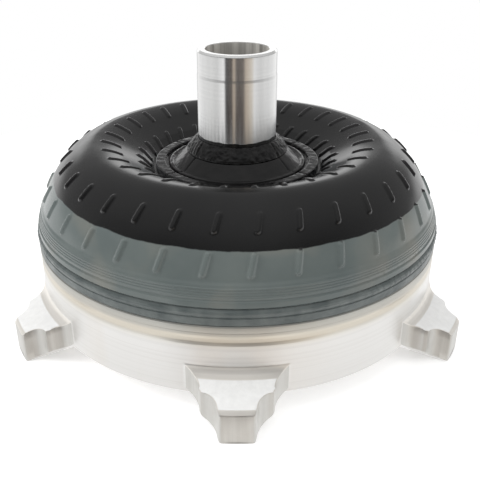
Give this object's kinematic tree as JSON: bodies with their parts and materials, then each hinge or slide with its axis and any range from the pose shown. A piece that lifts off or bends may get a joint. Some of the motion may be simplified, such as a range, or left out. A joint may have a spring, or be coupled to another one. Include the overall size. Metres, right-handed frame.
{
  "type": "torque converter",
  "caption": "Lock-up torque converter with a machined front cover, outer mounting lugs, a dimpled impeller shell and a tall pump drive hub; turbine, stator and clutch inside.",
  "frame": {"origin": "on the turning axis, at the height of the lug pads that rest on the engine's flexplate", "axes": "+Z along the turning axis towards the pump drive hub; one lug points along -Y"},
  "size_m": [0.2624, 0.294, 0.1635],
  "materials": {
    "front_cover": "machined steel",
    "crank_pilot": "machined steel",
    "closure_weld": "glossy grey paint over a rough weld bead",
    "impeller_shell": "glossy black paint",
    "pump_drive_hub": "bright ground steel",
    "hub_flange": "glossy black paint",
    "hub_weld": "glossy black paint",
    "impeller_blades": "plain metal",
    "clutch_drum": "dark plain steel",
    "clutch_snap_ring": "bright ground steel",
    "clutch_reaction_plate": "machined steel",
    "cover_bearing_front_race": "bright ground steel",
    "impeller_bearing_rear_race": "bright ground steel",
    "turbine_shell": "dark plain steel",
    "turbine_blades": "plain metal",
    "turbine_hub": "dark plain steel",
    "damper_hub_flange": "machined steel",
    "cover_bearing_rear_race": "bright ground steel",
    "turbine_bearing_front_race": "bright ground steel",
    "damper_drive_plate": "dark plain steel",
    "damper_cover_plate": "dark plain steel",
    "damper_spring_1": "machined steel",
    "damper_spring_2": "machined steel",
    "damper_spring_3": "machined steel",
    "damper_spring_4": "machined steel",
    "clutch_friction_plate_1": "brown friction lining",
    "clutch_friction_plate_2": "brown friction lining",
    "clutch_steel_plate": "machined steel",
    "clutch_piston": "plain metal",
    "piston_outer_seal": "black seal",
    "piston_inner_seal": "black seal",
    "stator_inner_race": "dark plain steel",
    "turbine_bearing_rear_race": "bright ground steel",
    "impeller_bearing_front_race": "bright ground steel",
    "stator_wheel": "plain metal",
    "stator_cam": "dark plain steel",
    "stator_front_cap": "bronze",
    "stator_rear_cap": "bronze",
    "stator_snap_ring": "bright ground steel",
    "clutch_roller_1": "bright ground steel",
    "clutch_roller_2": "bright ground steel",
    "clutch_roller_3": "bright ground steel",
    "clutch_roller_4": "bright ground steel",
    "clutch_roller_5": "bright ground steel",
    "clutch_roller_6": "bright ground steel",
    "roller_spring_1": "bright ground steel",
    "roller_spring_2": "bright ground steel",
    "roller_spring_3": "bright ground steel",
    "roller_spring_4": "bright ground steel",
    "roller_spring_5": "bright ground steel",
    "roller_spring_6": "bright ground steel",
    "cover_bearing_cage": "bronze",
    "turbine_bearing_cage": "bronze",
    "impeller_bearing_cage": "bronze"
  },
  "bodies": {
    "housing": {"front_cover": "front_cover", "crank_pilot": "crank_pilot", "closure_weld": "closure_weld", "impeller_shell": "impeller_shell", "pump_drive_hub": "pump_drive_hub", "hub_flange": "hub_flange", "hub_weld": "hub_weld", "impeller_blades": "impeller_blades", "clutch_drum": "clutch_drum", "clutch_snap_ring": "clutch_snap_ring", "clutch_reaction_plate": "clutch_reaction_plate", "cover_bearing_front_race": "cover_bearing_front_race", "impeller_bearing_rear_race": "impeller_bearing_rear_race"},
    "turbine": {"turbine_shell": "turbine_shell", "turbine_blades": "turbine_blades", "turbine_hub": "turbine_hub", "damper_hub_flange": "damper_hub_flange", "cover_bearing_rear_race": "cover_bearing_rear_race", "turbine_bearing_front_race": "turbine_bearing_front_race"},
    "damper_drive": {"damper_drive_plate": "damper_drive_plate", "damper_cover_plate": "damper_cover_plate", "damper_spring_1": "damper_spring_1", "damper_spring_2": "damper_spring_2", "damper_spring_3": "damper_spring_3", "damper_spring_4": "damper_spring_4"},
    "friction_1": {"clutch_friction_plate_1": "clutch_friction_plate_1"},
    "friction_2": {"clutch_friction_plate_2": "clutch_friction_plate_2"},
    "steel_plate": {"clutch_steel_plate": "clutch_steel_plate"},
    "piston": {"clutch_piston": "clutch_piston", "piston_outer_seal": "piston_outer_seal", "piston_inner_seal": "piston_inner_seal"},
    "stator_race": {"stator_inner_race": "stator_inner_race", "turbine_bearing_rear_race": "turbine_bearing_rear_race", "impeller_bearing_front_race": "impeller_bearing_front_race"},
    "stator": {"stator_wheel": "stator_wheel", "stator_cam": "stator_cam", "stator_front_cap": "stator_front_cap", "stator_rear_cap": "stator_rear_cap", "stator_snap_ring": "stator_snap_ring", "clutch_roller_1": "clutch_roller_1", "clutch_roller_2": "clutch_roller_2", "clutch_roller_3": "clutch_roller_3", "clutch_roller_4": "clutch_roller_4", "clutch_roller_5": "clutch_roller_5", "clutch_roller_6": "clutch_roller_6", "roller_spring_1": "roller_spring_1", "roller_spring_2": "roller_spring_2", "roller_spring_3": "roller_spring_3", "roller_spring_4": "roller_spring_4", "roller_spring_5": "roller_spring_5", "roller_spring_6": "roller_spring_6"},
    "cover_cage": {"cover_bearing_cage": "cover_bearing_cage"},
    "turbine_cage": {"turbine_bearing_cage": "turbine_bearing_cage"},
    "impeller_cage": {"impeller_bearing_cage": "impeller_bearing_cage"}
  },
  "joints": [
    {"name": "turbine_spin", "type": "hinge", "parent": "housing", "child": "turbine", "pos_m": [0, 0, 0.055], "axis": [0, 0, 1], "continuous": true},
    {"name": "damper_twist", "type": "hinge", "parent": "turbine", "child": "damper_drive", "pos_m": [0, 0, 0.033], "axis": [0, 0, 1], "range_deg": [-5, 5], "stiffness_Nm_per_rad": 400, "deforming": ["damper_spring_1", "damper_spring_2", "damper_spring_3", "damper_spring_4"]},
    {"name": "piston_apply", "type": "slide", "parent": "housing", "child": "piston", "axis": [0, 0, 1], "range_m": [0, 0.001]},
    {"name": "steel_plate_slide", "type": "slide", "parent": "housing", "child": "steel_plate", "axis": [0, 0, 1], "range_m": [0, 0.0005]},
    {"name": "friction_1_slide", "type": "slide", "parent": "damper_drive", "child": "friction_1", "axis": [0, 0, 1], "range_m": [0, 0.00075]},
    {"name": "friction_2_slide", "type": "slide", "parent": "damper_drive", "child": "friction_2", "axis": [0, 0, 1], "range_m": [0, 0.00025]},
    {"name": "race_spin", "type": "hinge", "parent": "housing", "child": "stator_race", "pos_m": [0, 0, 0.075], "axis": [0, 0, 1], "continuous": true},
    {"name": "reactor_freewheel", "type": "hinge", "parent": "stator_race", "child": "stator", "pos_m": [0, 0, 0.075], "axis": [0, 0, 1], "continuous": true},
    {"name": "cover_cage_spin", "type": "hinge", "parent": "housing", "child": "cover_cage", "pos_m": [0, 0, 0.03], "axis": [0, 0, 1], "continuous": true},
    {"name": "turbine_cage_spin", "type": "hinge", "parent": "stator_race", "child": "turbine_cage", "pos_m": [0, 0, 0.063], "axis": [0, 0, 1], "continuous": true},
    {"name": "impeller_cage_spin", "type": "hinge", "parent": "housing", "child": "impeller_cage", "pos_m": [0, 0, 0.087], "axis": [0, 0, 1], "continuous": true}
  ],
  "couplings": [
    {"joint": "friction_1_slide", "follows": "piston_apply", "ratio": 0.75},
    {"joint": "steel_plate_slide", "follows": "piston_apply", "ratio": 0.5},
    {"joint": "friction_2_slide", "follows": "piston_apply", "ratio": 0.25},
    {"joint": "cover_cage_spin", "follows": "turbine_spin", "ratio": 0.5},
    {"joint": "turbine_cage_spin", "follows": "turbine_spin", "ratio": 0.5},
    {"joint": "impeller_cage_spin", "follows": "race_spin", "ratio": 0.5}
  ]
}
